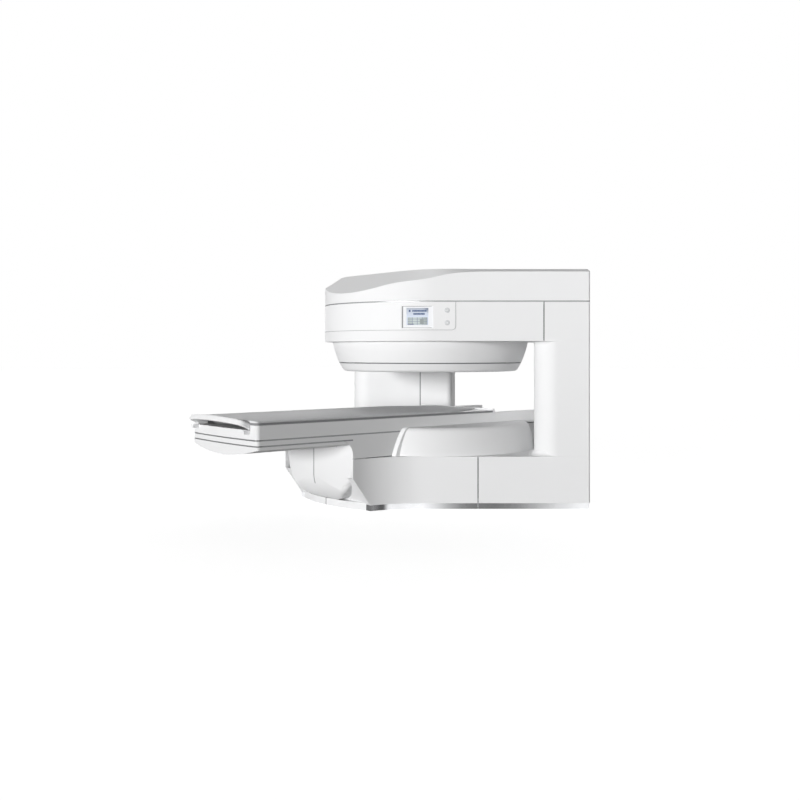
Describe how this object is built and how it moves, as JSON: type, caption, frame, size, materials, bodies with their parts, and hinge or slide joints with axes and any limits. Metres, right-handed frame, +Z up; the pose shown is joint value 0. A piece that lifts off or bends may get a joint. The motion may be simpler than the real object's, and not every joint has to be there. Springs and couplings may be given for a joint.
{
  "type": "open mri scanner",
  "caption": "Open scanner with a C-shaped yoke on two posts, round pole covers above and below the gap, and a fixed table whose top slides through.",
  "frame": {"origin": "on the floor, under the centre of the magnet", "axes": "+X along the table towards the patient's head, +Y to the far side, +Z up"},
  "size_m": [3.0033, 2.7754, 1.768],
  "materials": {
    "cover": "satin moulded",
    "fascia": "smooth",
    "trim": "matt moulded",
    "kick_steel": "brushed",
    "iron": "machined and painted",
    "magnet": "ground",
    "coil": "cast resin",
    "frame_metal": "mill",
    "bezel": "matt",
    "screen": "smooth",
    "circuit_board": "matt",
    "key": "smooth",
    "tabletop_shell": "fine textured",
    "mat": "soft coated cloth",
    "handle": "matt"
  },
  "bodies": {
    "scanner": {"base_cover_frame": "frame_metal", "base_deck": "cover", "belly_pan": "cover", "control_fascia": "fascia", "display_bezel": "bezel", "display_board": "circuit_board", "display_screen": "screen", "far_back_base_cover": "cover", "far_front_base_cover": "cover", "far_pedestal_end_cover": "cover", "far_pole_cover": "cover", "far_post_back_cover": "cover", "far_post_core": "iron", "far_post_front_cover": "cover", "far_table_side_panel": "cover", "far_yoke_arm_cover": "cover", "handle_rests": "trim", "head_base_cover": "cover", "head_end_panel": "cover", "head_yoke_cover": "cover", "keel_runners": "frame_metal", "kick_plates": "kick_steel", "lower_gradient_coil": "coil", "lower_magnet_block": "magnet", "lower_pole_plate": "iron", "lower_receive_coil": "coil", "lower_yoke_plate": "iron", "near_back_base_cover": "cover", "near_front_base_cover": "cover", "near_pedestal_end_cover": "cover", "near_pole_cover": "cover", "near_post_back_cover": "cover", "near_post_core": "iron", "near_post_front_cover": "cover", "near_table_side_panel": "cover", "near_yoke_arm_cover": "cover", "nose_cover": "cover", "pedestal_bowl": "cover", "pedestal_column": "iron", "plinth_halves": "cover", "pole_cover_trims": "trim", "soffit_panel": "cover", "table_beams": "frame_metal", "table_tray": "cover", "top_cap": "cover", "upper_gradient_coil": "coil", "upper_magnet_block": "magnet", "upper_pole_cone_cover": "cover", "upper_pole_face_cover": "cover", "upper_pole_plate": "iron", "upper_receive_coil": "coil", "upper_yoke_plate": "iron", "yoke_cover_frame": "frame_metal"},
    "tabletop": {"tabletop_board": "tabletop_shell", "patient_mat": "mat", "tabletop_end_cap": "trim", "tabletop_keel": "tabletop_shell", "tabletop_handle": "handle"},
    "upper_button": {"upper_button": "key"},
    "lower_button": {"lower_button": "key"}
  },
  "joints": [
    {"name": "tabletop_slide", "type": "slide", "parent": "scanner", "child": "tabletop", "axis": [1, 0, 0], "range_m": [0, 0.62]},
    {"name": "upper_button_press", "type": "slide", "parent": "scanner", "child": "upper_button", "axis": [0.6351, 0.7724, 0], "range_m": [0, 0.002], "stiffness_N_per_m": 800, "springref_m": -0.002},
    {"name": "lower_button_press", "type": "slide", "parent": "scanner", "child": "lower_button", "axis": [0.6351, 0.7724, 0], "range_m": [0, 0.002], "stiffness_N_per_m": 800, "springref_m": -0.002}
  ]
}
